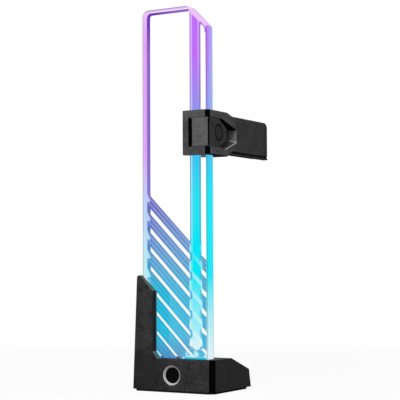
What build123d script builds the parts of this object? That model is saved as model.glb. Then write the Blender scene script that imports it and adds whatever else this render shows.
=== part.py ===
from build123d import *
import os
from math import cos, hypot, radians

# Graphics card support bracket, in millimetres. A clear light panel stands in a black base,
# and a clamp with an arm slides on the panel's right-hand rail. The origin is on the floor
# under the middle of the base, +X runs to the viewer's right, +Y runs back, +Z runs up.

os.makedirs("parts", exist_ok=True)

# Fits
slide_clearance = 0.1  # flat faces that slide on each other
seat_clearance = 0.2  # a piece set in its pocket
hole_clearance = 0.15  # a screw in a plain hole, on the radius
thread_clearance = 0.02  # a screw in its tapped hole, on the radius

# Base
base_width = 54.1
base_depth = 44.5
base_wall = 2.5
base_top_z = 19.2
base_corner_bevel = 2.7
base_edge_bevel = 0.6
base_flat_depth = 21.1  # level top, from the front face to where it slopes down
base_shoulder_z = 11.5  # height of the back end, where the slope ends
base_back_lean = 2.2
base_side_lean = 2.7  # left side, from the foot to the top of the post
front_wall = 4.1
inner_wall = 2.5  # between the panel's pocket and the hollow behind it
post_width = 14.3
post_top_z = 66.9
post_flat = 3.2
post_slope_drop = 8.8
post_corner_radius = 1.6
notch_width = 3.2
notch_height = 3.9

# Foot, plate and what is fixed to it
foot_thickness = 1.1
foot_inset = 0.4
foot_inset_left = 2.3
foot_inset_back = 4.8
plate_thickness = 3.0
plate_rim = 2.4
plate_screw_radius = 1.25
plate_screw_head_radius = 2.3
plate_screw_length = 8.0
plate_screw_boss_radius = 2.7
plate_screw_inset = 4.9  # from the hollow's left and right walls
magnet_radius = 5.0
magnet_thickness = 2.2
magnet_rim = 1.6  # steel left between a magnet and the screw beside it
countersink_angle = 90.0

# Light panel
panel_width = 43.9
panel_thickness = 7.6
panel_top_z = 222.9
panel_inset = 6.1  # from the base's right side to the panel's right edge
panel_ledge = 1.5  # the panel's foot rests on a ledge at each end
panel_lamp_gap = 0.6
panel_corner_radius = 4.0
panel_cut_radius = 3.0  # at both ends of the cut corner
panel_chamfer_x = 12.9
panel_chamfer_z = 12.7
panel_edge_bevel = 0.5
rail_width = 4.1
groove_width = 6.9
groove_depth = 6.4
groove_bottom_z = 24.3
groove_web = 1.5  # left between the groove's sloped upper end and the chamfer
panel_screw_radius = 1.25
panel_screw_head_radius = 2.2
panel_screw_head_height = 1.4
panel_screw_grip = 2.6  # thread held in the front wall
panel_screw_z = 12.6
panel_screw_spacing = 24.0

# Pattern film on the panel's back
film_gap = 0.05  # adhesive between the panel and the film
film_thickness = 0.2
film_corner_radius = 3.2
border_inner_radius = 1.6
film_edge = 0.3
film_edge_top = 0.9
film_edge_right = 0.4
film_reach = 3.0  # how far the film goes down into the base
border_width = 2.3
border_top_width = 1.5
stripe_start_z = 115.7
stripe_pitch = 11.05  # along the panel's height
stripe_gap = 3.3  # along the panel's height, at the highest gap
stripe_gap_step = 0.25  # each gap is this much lower in height than the one above
first_gap_drop = 12.6  # from the stripes' start to the middle of the highest gap
stripe_angle = 45.0

# Lamps
board_thickness = 1.2
board_width = 7.0
board_end_gap = 0.5
lamp_size = 3.2
lamp_height = 1.0
lamp_count = 7
lamp_pitch = 5.6

# Badge and cable outlet
badge_radius = 5.7
badge_depth = 1.2
badge_x = -0.4
badge_z = 9.8
grommet_radius = 2.2
grommet_bore_radius = 1.5
grommet_flange_radius = 3.0
grommet_flange = 0.8
grommet_x = 12.0
grommet_height = 5.0  # up the leaning back wall, from the foot's top

# Carriage: clamp frame and arm
carriage_bottom_z = 135.6
carriage_height = 25.7
carriage_width = 17.4
carriage_corner_bevel = 2.6
carriage_edge_bevel = 0.4
jaw_thickness = 3.2
side_wall = 3.0
glide_thickness = 0.6
glide_end_gap = 0.4
left_bar = 3.6
top_bar = 4.2
bottom_bar = 4.7
recess_depth = 5.5
recess_straight_top = 15.0
recess_straight_bottom = 18.0
recess_length = 32.5
recess_end_top = 3.4  # above the window's middle
recess_flare = 1.2  # the lower side starts this far below the window, at the clamp's side
recess_end_bottom = 4.5  # below the window's middle, at the clamp's side
recess_end_inner = 3.0  # below the window's middle, at the recess's floor
step_start = 22.1
step_length = 5.7
step_top = 1.7
step_bottom = 3.2
arm_length = 71.7
arm_side_step = 6.4  # the arm's left side stands in from the clamp's
arm_corner_radius = 3.5
arm_wall = 2.2
arm_roof = 1.6
pad_thickness = 1.4
pad_seat = 1.2
pad_inset = 1.6
pad_corner_radius = 2.0
pad_groove_width = 0.8
pad_groove_depth = 0.5
pad_groove_pitch = 4.0

# Strip that closes the arm from below
cover_lip = 1.1  # height of the lip along the right edge
cover_lip_width = 3.0
cover_groove = 0.9
cover_groove_depth = 1.2
cover_plug = 1.5
cover_end_radius = 0.9
cover_lip_bevel = 0.5
cover_screw_radius = 1.0
cover_screw_head_radius = 1.9
cover_screw_length = 8.0
cover_boss_radius = 2.4
cover_screw_inset = 6.0

# Lock button
button_travel = 2.0
button_play = 0.25
button_side_gap = 2.8  # left of the button, more than its travel
button_limb = 1.5
button_length = 20.4
limb_cut_length = 9.0  # cut corners at the limb's end
limb_cut_height = 5.1
limb_corner_radius = 1.0
flange_lap = 0.6  # the button's flange reaches this far behind the left bar
flange_thickness = 1.0
button_edge_bevel = 0.7
button_panel_gap = 0.4
neck_width = 1.7
neck_floor_gap = 0.5
shoe_height = 12.0
cap_radius = 5.1
cap_depth = 0.6
cap_setback = 11.7
guide_radius = 1.1
guide_head_radius = 2.0
guide_head_height = 1.4
guide_setback = 16.9
guide_shoulder = 5.1  # depth of the head's counterbore
guide_collar = 2.0  # wall between the counterbore and the spring's bore
guide_boss_radius = 1.75
guide_boss_length = 3.0
guide_tip_wall = 0.6
spring_radius = 2.3
spring_wire = 0.8
spring_turns = 3
spring_wire_sides = 5  # the wire's section is a regular polygon, so that the coil has few faces
spring_bore_clearance = 0.2

# Places worked out from the sizes
base_left_x = -base_width / 2
base_right_x = base_width / 2
base_front_y = -base_depth / 2
base_back_y = base_depth / 2
base_flat_back_y = base_front_y + base_flat_depth
base_shoulder_y = base_back_y - base_back_lean
post_left_x = base_left_x + base_side_lean
post_right_x = base_left_x + post_width
plate_top_z = foot_thickness + plate_thickness
board_top_z = plate_top_z + board_thickness

panel_right_x = base_right_x - panel_inset
panel_left_x = panel_right_x - panel_width
panel_mid_x = (panel_left_x + panel_right_x) / 2
panel_front_y = base_front_y + front_wall + seat_clearance
panel_back_y = panel_front_y + panel_thickness
panel_bottom_z = board_top_z + lamp_height + panel_lamp_gap
film_front_y = panel_back_y + film_gap
film_back_y = film_front_y + film_thickness
pocket_front_y = panel_front_y - seat_clearance
pocket_back_y = film_back_y + seat_clearance
pocket_mid_y = (pocket_front_y + pocket_back_y) / 2
hollow_front_y = pocket_back_y + inner_wall
hollow_back_y = base_shoulder_y - base_wall
hollow_left_x = base_left_x + base_wall + base_side_lean
hollow_right_x = base_right_x - base_wall
plate_left_x = base_left_x + plate_rim
plate_right_x = base_right_x - plate_rim
plate_front_y = base_front_y + plate_rim
plate_back_y = base_shoulder_y - plate_rim
plate_screw_spacing = hollow_right_x - hollow_left_x - 2 * plate_screw_inset
magnet_spacing = plate_screw_spacing - 2 * (plate_screw_head_radius + magnet_rim + magnet_radius)
plate_mid = ((plate_left_x + plate_right_x) / 2, (plate_front_y + plate_back_y) / 2)
hollow_mid = ((hollow_left_x + hollow_right_x) / 2, (hollow_front_y + hollow_back_y) / 2)

rail_left_x = panel_right_x - rail_width
groove_left_x = rail_left_x - groove_width
groove_mid_x = (groove_left_x + rail_left_x) / 2
groove_floor_y = panel_front_y + groove_depth
chamfer_slope = panel_chamfer_z / panel_chamfer_x
groove_drop = groove_web * hypot(panel_chamfer_x, panel_chamfer_z) / panel_chamfer_x

carriage_front_y = panel_front_y - slide_clearance - glide_thickness - jaw_thickness
carriage_right_x = panel_right_x + slide_clearance + glide_thickness + side_wall
carriage_left_x = carriage_right_x - carriage_width
carriage_top_z = carriage_bottom_z + carriage_height
throat_front_y = carriage_front_y + jaw_thickness
throat_back_y = film_back_y + slide_clearance + glide_thickness
throat_right_x = carriage_right_x - side_wall
window_left_x = carriage_left_x + left_bar
window_bottom_z = carriage_bottom_z + bottom_bar
window_top_z = carriage_top_z - top_bar
window_mid_z = (window_bottom_z + window_top_z) / 2
recess_floor_x = carriage_right_x - recess_depth
recess_top_y = carriage_front_y + recess_straight_top
recess_bottom_y = carriage_front_y + recess_straight_bottom
recess_end_y = carriage_front_y + recess_length
step_start_y = carriage_front_y + step_start
step_end_y = step_start_y + step_length
arm_end_y = carriage_front_y + arm_length
arm_top_z = carriage_top_z - step_top
arm_bottom_z = carriage_bottom_z + step_bottom
arm_left_x = carriage_left_x + arm_side_step
arm_width = carriage_right_x - arm_left_x
arm_mid_x = (arm_left_x + carriage_right_x) / 2
arm_hollow_front_y = recess_end_y + arm_wall
arm_hollow_back_y = arm_end_y - arm_wall
arm_hollow_mid_y = (arm_hollow_front_y + arm_hollow_back_y) / 2
arm_hollow_length = arm_hollow_back_y - arm_hollow_front_y
arm_hollow_width = arm_width - 2 * arm_wall
arm_hollow_top_z = arm_top_z - pad_seat - arm_roof
cover_seat_z = arm_bottom_z + cover_plug
cover_top_z = arm_bottom_z - cover_groove
cover_bottom_z = cover_top_z - cover_lip
cover_screw_spacing = arm_hollow_length - 2 * cover_screw_inset
pad_front_y = step_end_y + pad_inset
pad_back_y = arm_end_y - arm_corner_radius - pad_inset
pad_mid_y = (pad_front_y + pad_back_y) / 2

button_left_x = window_left_x + button_side_gap
button_bottom_z = window_bottom_z + button_play
button_top_z = window_top_z - button_play
button_height = button_top_z - button_bottom_z
button_back_y = panel_front_y - button_panel_gap
limb_inner_x = carriage_right_x - button_limb
limb_end_y = carriage_front_y + button_length
shoe_right_x = rail_left_x - slide_clearance
neck_right_x = button_left_x + neck_width
neck_end_y = groove_floor_y - neck_floor_gap
cap_y = carriage_front_y + cap_setback
guide_y = carriage_front_y + guide_setback
guide_shoulder_x = carriage_left_x + guide_shoulder
spring_seat_x = guide_shoulder_x + guide_collar
spring_bore_radius = spring_radius + spring_wire / 2 + spring_bore_clearance
guide_tip_x = carriage_right_x - guide_tip_wall


def front_plane(y):
    """A plane at depth y, seen from the front: local x is X, local y is Z, out is -Y."""
    return Plane(origin=(0, y, 0), x_dir=(1, 0, 0), z_dir=(0, -1, 0))


def side_plane(x):
    """A plane at place x, seen from the right: local x is Y, local y is Z, out is +X."""
    return Plane(origin=(x, 0, 0), x_dir=(0, 1, 0), z_dir=(1, 0, 0))


def floor_plane(z):
    """A level plane at height z, seen from above."""
    return Plane.XY.offset(z)


def back_wall_plane():
    """The base's leaning back wall, where the cable leaves: out is away from the base."""
    lean = Vector(0, -base_back_lean, base_shoulder_z - foot_thickness).normalized()
    foot = Vector(grommet_x, base_back_y, foot_thickness)
    outward = Vector(0, lean.Z, -lean.Y)
    return Plane(origin=foot + lean * grommet_height, x_dir=(-1, 0, 0), z_dir=outward)


def groove_top_z(x):
    """Height of the groove's sloped upper end at place x, parallel to the panel's chamfer."""
    chamfer_start_x = panel_right_x - panel_chamfer_x
    return panel_top_z - (x - chamfer_start_x) * chamfer_slope - groove_drop


def plate_screw_places():
    """The two screws of the bottom plate, one near each side of the hollow."""
    return GridLocations(plate_screw_spacing, 1, 2, 1)


def magnet_places():
    """The two magnets, side by side between the screws."""
    return GridLocations(magnet_spacing, 1, 2, 1)


def panel_screw_places():
    """The two screws through the panel's foot."""
    return GridLocations(panel_screw_spacing, 1, 2, 1)


def cover_screw_places():
    """The two screws of the arm's strip, one near each end of the arm's hollow."""
    return GridLocations(1, cover_screw_spacing, 1, 2)


# Hollow of the base behind the panel, with a solid boss left for each plate screw
with BuildPart() as base_hollow:
    with BuildSketch(side_plane(hollow_left_x)):
        with BuildLine():
            Polyline(
                (hollow_front_y, plate_top_z),
                (hollow_back_y, plate_top_z),
                (hollow_back_y, base_shoulder_z - base_wall),
                (base_flat_back_y, base_top_z - base_wall),
                (hollow_front_y, base_top_z - base_wall),
                close=True,
            )
        make_face()
    extrude(amount=hollow_right_x - hollow_left_x)
    with BuildSketch(floor_plane(plate_top_z)):
        with Locations(hollow_mid):
            with plate_screw_places():
                Circle(plate_screw_boss_radius)
    extrude(amount=base_top_z, mode=Mode.SUBTRACT)

# Base shell: the front outline and the side outline crossed, then hollowed from below
with BuildPart() as base_shell:
    with BuildSketch(front_plane(base_front_y)) as base_front:
        with BuildLine():
            Polyline(
                (base_left_x, foot_thickness),
                (post_left_x, post_top_z),
                (post_left_x + post_flat, post_top_z),
                (post_right_x, post_top_z - post_slope_drop),
                (post_right_x, base_top_z + notch_height),
                (post_right_x + notch_width, base_top_z),
                (base_right_x, base_top_z),
                (base_right_x, foot_thickness),
                close=True,
            )
        make_face()
        fillet(base_front.vertices().group_by(Axis.Y)[-1], post_corner_radius)
    extrude(amount=-base_depth)
    with BuildSketch(side_plane(base_left_x)):
        with BuildLine():
            Polyline(
                (base_front_y, foot_thickness),
                (base_back_y, foot_thickness),
                (base_shoulder_y, base_shoulder_z),
                (base_flat_back_y, base_top_z),
                (panel_back_y, base_top_z),
                (panel_back_y, post_top_z),
                (base_front_y, post_top_z),
                close=True,
            )
        make_face()
    extrude(amount=base_width, mode=Mode.INTERSECT)
    near_corner = base_shell.edges().filter_by(Axis.Z).sort_by(lambda e: e.center().X - e.center().Y)[-1]
    chamfer(near_corner, base_corner_bevel)
    front_rim = base_shell.faces().filter_by(Axis.Y).sort_by(Axis.Y)[0].outer_wire().edges()
    chamfer(front_rim.filter_by(lambda e: e.center().Z > base_top_z - base_edge_bevel), base_edge_bevel)
    # pocket for the panel, and the lamps' bay under it
    with BuildSketch(floor_plane(panel_bottom_z)):
        with Locations((panel_mid_x, pocket_mid_y)):
            Rectangle(panel_width + 2 * seat_clearance, pocket_back_y - pocket_front_y)
    extrude(amount=post_top_z, mode=Mode.SUBTRACT)
    with BuildSketch(floor_plane(plate_top_z)):
        with Locations((panel_mid_x, pocket_mid_y)):
            Rectangle(panel_width - 2 * panel_ledge, pocket_back_y - pocket_front_y)
    extrude(amount=panel_bottom_z - plate_top_z, mode=Mode.SUBTRACT)
    # seat of the bottom plate, and the hollow behind the panel
    with BuildSketch(floor_plane(foot_thickness)):
        with Locations(plate_mid):
            Rectangle(plate_right_x - plate_left_x, plate_back_y - plate_front_y)
    extrude(amount=plate_thickness, mode=Mode.SUBTRACT)
    add(base_hollow.part, mode=Mode.SUBTRACT)
    # tapped holes for the plate's screws
    with BuildSketch(floor_plane(plate_top_z)):
        with Locations(hollow_mid):
            with plate_screw_places():
                Circle(plate_screw_radius + thread_clearance)
    extrude(amount=plate_screw_length - plate_thickness, mode=Mode.SUBTRACT)
    # gap under the inner wall for the lamps' wires
    with BuildSketch(floor_plane(plate_top_z)):
        with Locations((panel_mid_x, hollow_front_y - inner_wall / 2)):
            Rectangle(board_width, inner_wall + 2 * seat_clearance)
    extrude(amount=board_thickness + lamp_height, mode=Mode.SUBTRACT)
    # panel screws: a plain hole in the inner wall, a tapped one in the front wall
    with BuildSketch(front_plane(hollow_front_y)):
        with Locations((panel_mid_x, panel_screw_z)):
            with panel_screw_places():
                Circle(panel_screw_radius + hole_clearance)
    extrude(amount=inner_wall, mode=Mode.SUBTRACT)
    with BuildSketch(front_plane(pocket_front_y)):
        with Locations((panel_mid_x, panel_screw_z)):
            with panel_screw_places():
                Circle(panel_screw_radius + thread_clearance)
    extrude(amount=panel_screw_grip, mode=Mode.SUBTRACT)
    # seats of the badge and the grommet
    with BuildSketch(front_plane(base_front_y)):
        with Locations((badge_x, badge_z)):
            Circle(badge_radius + seat_clearance)
    extrude(amount=-badge_depth, mode=Mode.SUBTRACT)
    with BuildSketch(back_wall_plane()):
        Circle(grommet_radius + slide_clearance)
    extrude(amount=-2 * base_wall, mode=Mode.SUBTRACT)
base_shell.part.label = "base_shell"
export_step(base_shell.part, "parts/base_shell.step")

# Bottom plate, with countersunk holes from below and a pocket from above for each magnet
with BuildPart() as base_plate:
    with BuildSketch(floor_plane(foot_thickness)):
        with Locations(plate_mid):
            Rectangle(
                plate_right_x - plate_left_x - 2 * seat_clearance,
                plate_back_y - plate_front_y - 2 * seat_clearance,
            )
    extrude(amount=plate_thickness)
    with Locations(Plane(origin=(*hollow_mid, foot_thickness), x_dir=(1, 0, 0), z_dir=(0, 0, -1))):
        with plate_screw_places():
            CounterSinkHole(
                plate_screw_radius + hole_clearance,
                plate_screw_head_radius + hole_clearance,
                plate_thickness,
                countersink_angle,
            )
    with Locations((*hollow_mid, plate_top_z)):
        with magnet_places():
            Hole(magnet_radius + hole_clearance, magnet_thickness)
base_plate.part.label = "base_plate"
export_step(base_plate.part, "parts/base_plate.step")

with BuildPart() as base_magnets:
    with BuildSketch(floor_plane(plate_top_z)):
        with Locations(hollow_mid):
            with magnet_places():
                Circle(magnet_radius)
    extrude(amount=-magnet_thickness)
base_magnets.part.label = "base_magnets"
export_step(base_magnets.part, "parts/base_magnets.step")

# Countersunk screws, heads flush with the plate's underside
with BuildPart() as base_plate_screws:
    with Locations((*hollow_mid, foot_thickness)):
        with plate_screw_places():
            Cylinder(
                plate_screw_radius,
                plate_screw_length,
                align=(Align.CENTER, Align.CENTER, Align.MIN),
            )
            Cone(
                plate_screw_head_radius,
                plate_screw_radius,
                plate_screw_head_radius - plate_screw_radius,
                align=(Align.CENTER, Align.CENTER, Align.MIN),
            )
base_plate_screws.part.label = "base_plate_screws"
export_step(base_plate_screws.part, "parts/base_plate_screws.step")

# Anti-slip pad under the base, its near corner cut like the base's
with BuildPart() as foot_pad:
    with BuildSketch(floor_plane(0)) as foot_outline:
        with BuildLine():
            Polyline(
                (base_left_x + foot_inset_left, base_front_y + foot_inset),
                (base_right_x - foot_inset, base_front_y + foot_inset),
                (base_right_x - foot_inset, base_back_y - foot_inset_back),
                (base_left_x + foot_inset_left, base_back_y - foot_inset_back),
                close=True,
            )
        make_face()
        near_foot_corner = foot_outline.vertices().sort_by(lambda v: v.X - v.Y)[-1]
        chamfer(near_foot_corner, base_corner_bevel)
    extrude(amount=foot_thickness)
foot_pad.part.label = "foot_pad"
export_step(foot_pad.part, "parts/foot_pad.step")

# Clear light panel: outline with its round and its cut corner, then the groove beside the rail
with BuildPart() as light_panel:
    with BuildSketch(front_plane(panel_front_y)) as panel_outline:
        with BuildLine():
            Polyline(
                (panel_left_x, panel_bottom_z),
                (panel_left_x, panel_top_z),
                (panel_right_x - panel_chamfer_x, panel_top_z),
                (panel_right_x, panel_top_z - panel_chamfer_z),
                (panel_right_x, panel_bottom_z),
                close=True,
            )
        make_face()
        round_corner = panel_outline.vertices().sort_by(lambda v: v.Y - v.X)[-1]
        fillet(round_corner, panel_corner_radius)
        cut_corners = panel_outline.vertices().sort_by(lambda v: v.X + v.Y)[-2:]
        fillet(cut_corners, panel_cut_radius)
    extrude(amount=-panel_thickness)
    chamfer(light_panel.faces().filter_by(Axis.Y).edges(), panel_edge_bevel)
    with BuildSketch(front_plane(panel_front_y)):
        with BuildLine():
            groove_sides = Polyline(
                (groove_left_x, groove_bottom_z + groove_width / 2),
                (groove_left_x, groove_top_z(groove_left_x)),
                (rail_left_x, groove_top_z(rail_left_x)),
                (rail_left_x, groove_bottom_z + groove_width / 2),
            )
            ThreePointArc(groove_sides @ 1, (groove_mid_x, groove_bottom_z), groove_sides @ 0)
        make_face()
    extrude(amount=-groove_depth, mode=Mode.SUBTRACT)
    with BuildSketch(front_plane(panel_front_y)):
        with Locations((panel_mid_x, panel_screw_z)):
            with panel_screw_places():
                Circle(panel_screw_radius + hole_clearance)
    extrude(amount=-panel_thickness, mode=Mode.SUBTRACT)
light_panel.part.label = "light_panel"
export_step(light_panel.part, "parts/light_panel.step")

# Film on the panel's back: a border down the left side and along the top, and slanted stripes
film_left_x = panel_left_x + film_edge
film_right_x = panel_right_x - film_edge_right
film_top_z = panel_top_z - film_edge_top
film_bottom_z = base_top_z - film_reach
film_width = film_right_x - film_left_x
gap_run = 2 * film_width / cos(radians(stripe_angle))
gap_start_x = film_left_x + border_width + stripe_gap * cos(radians(stripe_angle)) / 2
first_gap_z = stripe_start_z - first_gap_drop
gap_count = int((stripe_start_z - film_bottom_z) / stripe_pitch)
with BuildPart() as pattern_film:
    with BuildSketch(front_plane(film_front_y)) as film_outline:
        with BuildLine():
            Polyline(
                (film_left_x, film_bottom_z),
                (film_left_x, stripe_start_z),
                (film_right_x, stripe_start_z - film_width),
                (film_right_x, film_bottom_z),
                close=True,
            )
        make_face()
        for row in range(gap_count):
            gap_width = (stripe_gap - row * stripe_gap_step) * cos(radians(stripe_angle))
            with Locations((gap_start_x, first_gap_z - row * stripe_pitch)):
                SlotCenterPoint((0, 0), (gap_run, 0), gap_width, rotation=-stripe_angle, mode=Mode.SUBTRACT)
        with Locations((film_left_x, film_bottom_z)):
            Rectangle(border_width, film_top_z - film_bottom_z, align=(Align.MIN, Align.MIN))
        with Locations((film_left_x, film_top_z)):
            Rectangle(
                panel_right_x - panel_chamfer_x - film_left_x,
                border_top_width,
                align=(Align.MIN, Align.MAX),
            )
        film_corner = film_outline.vertices().sort_by(lambda v: v.Y - v.X)[-1]
        fillet(film_corner, film_corner_radius)
        border_corner = (film_left_x + border_width, film_top_z - border_top_width)
        fillet(film_outline.vertices().sort_by_distance(border_corner)[0], border_inner_radius)
    extrude(amount=-film_thickness)
pattern_film.part.label = "pattern_film"
export_step(pattern_film.part, "parts/pattern_film.step")

# Screws from the hollow through the panel's foot into the front wall
with BuildPart() as panel_screws:
    with BuildSketch(front_plane(hollow_front_y)):
        with Locations((panel_mid_x, panel_screw_z)):
            with panel_screw_places():
                Circle(panel_screw_radius)
    extrude(amount=hollow_front_y - pocket_front_y + panel_screw_grip)
    with BuildSketch(front_plane(hollow_front_y)):
        with Locations((panel_mid_x, panel_screw_z)):
            with panel_screw_places():
                Circle(panel_screw_head_radius)
    extrude(amount=-panel_screw_head_height)
panel_screws.part.label = "panel_screws"
export_step(panel_screws.part, "parts/panel_screws.step")

with BuildPart() as led_board:
    with BuildSketch(floor_plane(plate_top_z)):
        with Locations((panel_mid_x, pocket_mid_y)):
            Rectangle(panel_width - 2 * panel_ledge - 2 * board_end_gap, board_width)
    extrude(amount=board_thickness)
led_board.part.label = "led_board"
export_step(led_board.part, "parts/led_board.step")

with BuildPart() as led_chips:
    with BuildSketch(floor_plane(board_top_z)):
        with Locations((panel_mid_x, pocket_mid_y)):
            with GridLocations(lamp_pitch, 1, lamp_count, 1):
                Rectangle(lamp_size, lamp_size)
    extrude(amount=lamp_height)
led_chips.part.label = "led_chips"
export_step(led_chips.part, "parts/led_chips.step")

# Round inlay in the front wall, with a broken edge
with BuildPart() as front_badge:
    with BuildSketch(front_plane(base_front_y + badge_depth)):
        with Locations((badge_x, badge_z)):
            Circle(badge_radius)
    extrude(amount=badge_depth)
    chamfer(front_badge.faces().sort_by(Axis.Y)[0].edges(), badge_depth / 3)
front_badge.part.label = "front_badge"
export_step(front_badge.part, "parts/front_badge.step")

# Grommet in the leaning back wall
with BuildPart() as cable_grommet:
    with BuildSketch(back_wall_plane()):
        Circle(grommet_radius)
    extrude(amount=-base_wall)
    with BuildSketch(back_wall_plane()):
        Circle(grommet_flange_radius)
    extrude(amount=grommet_flange)
    with BuildSketch(back_wall_plane().offset(grommet_flange)):
        Circle(grommet_bore_radius)
    extrude(amount=-grommet_flange - base_wall, mode=Mode.SUBTRACT)
cable_grommet.part.label = "cable_grommet"
export_step(cable_grommet.part, "parts/cable_grommet.step")

# Carriage frame: the side outline across the whole width, then the throat for the panel,
# the window and recess for the button, and the arm's hollow
with BuildPart() as carriage_frame:
    with BuildSketch(side_plane(carriage_left_x)) as carriage_side:
        with BuildLine():
            Polyline(
                (carriage_front_y, carriage_bottom_z),
                (step_start_y, carriage_bottom_z),
                (step_end_y, arm_bottom_z),
                (arm_end_y, arm_bottom_z),
                (arm_end_y, arm_top_z),
                (step_end_y, arm_top_z),
                (step_start_y, carriage_top_z),
                (carriage_front_y, carriage_top_z),
                close=True,
            )
        make_face()
        arm_tip = carriage_side.vertices().sort_by(lambda v: v.X + v.Y)[-1]
        fillet(arm_tip, arm_corner_radius)
    extrude(amount=carriage_width)
    with BuildSketch(floor_plane(carriage_bottom_z)):
        with BuildLine():
            Polyline(
                (carriage_left_x, step_start_y),
                (arm_left_x, step_end_y),
                (arm_left_x, arm_end_y),
                (carriage_left_x, arm_end_y),
                close=True,
            )
        make_face()
    extrude(amount=carriage_height, mode=Mode.SUBTRACT)
    near_corner = carriage_frame.edges().filter_by(Axis.Z).sort_by(lambda e: e.center().X - e.center().Y)[-1]
    chamfer(near_corner, carriage_corner_bevel)
    side_rims = carriage_frame.faces().filter_by(Axis.X).edges()
    chamfer(side_rims.filter_by(lambda e: e.center().Y > carriage_front_y + slide_clearance), carriage_edge_bevel)
    # throat that takes the panel's rail and the glides
    with BuildSketch(floor_plane(carriage_bottom_z)):
        with Locations((throat_right_x, throat_front_y)):
            Rectangle(carriage_width, throat_back_y - throat_front_y, align=(Align.MAX, Align.MIN))
    extrude(amount=carriage_height, mode=Mode.SUBTRACT)
    # window in the front jaw, and the recess that runs on along the right side
    with BuildSketch(front_plane(carriage_front_y)):
        with Locations((window_left_x, window_bottom_z)):
            Rectangle(carriage_width, window_top_z - window_bottom_z, align=(Align.MIN, Align.MIN))
    extrude(amount=-jaw_thickness, mode=Mode.SUBTRACT)
    with BuildSketch(side_plane(carriage_right_x)):
        with Locations((carriage_front_y, window_bottom_z)):
            Rectangle(recess_straight_top, window_top_z - window_bottom_z, align=(Align.MIN, Align.MIN))
    extrude(amount=-recess_depth, mode=Mode.SUBTRACT)
    # the recess tapers towards the arm, and its lower side flares outwards
    recess_outer = (carriage_right_x, recess_flare, recess_end_bottom)
    recess_inner = (recess_floor_x, 0, recess_end_inner)
    for recess_x, flare, end_bottom in (recess_outer, recess_inner):
        with BuildSketch(side_plane(recess_x)):
            with BuildLine():
                Polyline(
                    (recess_top_y, window_bottom_z),
                    (recess_bottom_y, window_bottom_z - flare),
                    (recess_end_y, window_mid_z - end_bottom),
                    (recess_end_y, window_mid_z + recess_end_top),
                    (recess_top_y, window_top_z),
                    close=True,
                )
            make_face()
    loft(ruled=True, mode=Mode.SUBTRACT)
    # pocket behind the left bar for the button's flange
    with BuildSketch(front_plane(throat_front_y)):
        with Locations((window_left_x, window_bottom_z)):
            Rectangle(
                flange_lap + button_travel + slide_clearance,
                window_top_z - window_bottom_z,
                align=(Align.MAX, Align.MIN),
            )
    extrude(amount=flange_thickness + slide_clearance, mode=Mode.SUBTRACT)
    # stepped bore for the guide screw and the spring
    with BuildSketch(side_plane(carriage_left_x)):
        with Locations((guide_y, window_mid_z)):
            Circle(guide_head_radius + hole_clearance)
    extrude(amount=guide_shoulder, mode=Mode.SUBTRACT)
    with BuildSketch(side_plane(guide_shoulder_x)):
        with Locations((guide_y, window_mid_z)):
            Circle(guide_radius + slide_clearance)
    extrude(amount=guide_collar, mode=Mode.SUBTRACT)
    with BuildSketch(side_plane(spring_seat_x)):
        with Locations((guide_y, window_mid_z)):
            Circle(spring_bore_radius)
    extrude(amount=recess_floor_x - spring_seat_x, mode=Mode.SUBTRACT)
    # hollow of the arm from below, with a boss left for each screw of its strip
    with BuildSketch(floor_plane(arm_bottom_z)):
        with Locations((arm_mid_x, arm_hollow_mid_y)):
            Rectangle(arm_hollow_width, arm_hollow_length)
    extrude(amount=cover_plug, mode=Mode.SUBTRACT)
    with BuildSketch(floor_plane(cover_seat_z)):
        with Locations((arm_mid_x, arm_hollow_mid_y)):
            Rectangle(arm_hollow_width, arm_hollow_length)
            with cover_screw_places():
                Circle(cover_boss_radius, mode=Mode.SUBTRACT)
    extrude(amount=arm_hollow_top_z - cover_seat_z, mode=Mode.SUBTRACT)
    with BuildSketch(floor_plane(cover_seat_z)):
        with Locations((arm_mid_x, arm_hollow_mid_y)):
            with cover_screw_places():
                Circle(cover_screw_radius + thread_clearance)
    extrude(amount=cover_screw_length, mode=Mode.SUBTRACT)
    # seat of the pad on the arm's top
    with BuildSketch(floor_plane(arm_top_z)):
        with Locations((arm_mid_x, pad_mid_y)):
            RectangleRounded(arm_width - 2 * pad_inset, pad_back_y - pad_front_y, pad_corner_radius)
    extrude(amount=-pad_seat, mode=Mode.SUBTRACT)
carriage_frame.part.label = "carriage_frame"
export_step(carriage_frame.part, "parts/carriage_frame.step")

# Slippery liners round the rail, one in the upper bars and one in the lower bars
glide_left_x = carriage_left_x + glide_end_gap
glide_rows = {
    "upper_glide": (window_top_z, carriage_top_z - glide_end_gap),
    "lower_glide": (carriage_bottom_z + glide_end_gap, window_bottom_z),
}
for glide_name, (glide_bottom_z, glide_end_z) in glide_rows.items():
    with BuildPart() as glide:
        with BuildSketch(floor_plane(glide_bottom_z)):
            with Locations((throat_right_x, throat_front_y)):
                Rectangle(
                    throat_right_x - glide_left_x,
                    throat_back_y - throat_front_y,
                    align=(Align.MAX, Align.MIN),
                )
            with Locations((throat_right_x - glide_thickness, throat_front_y + glide_thickness)):
                Rectangle(
                    carriage_width,
                    throat_back_y - throat_front_y - 2 * glide_thickness,
                    align=(Align.MAX, Align.MIN),
                    mode=Mode.SUBTRACT,
                )
        extrude(amount=glide_end_z - glide_bottom_z)
    glide.part.label = glide_name
    export_step(glide.part, f"parts/{glide_name}.step")

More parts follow.
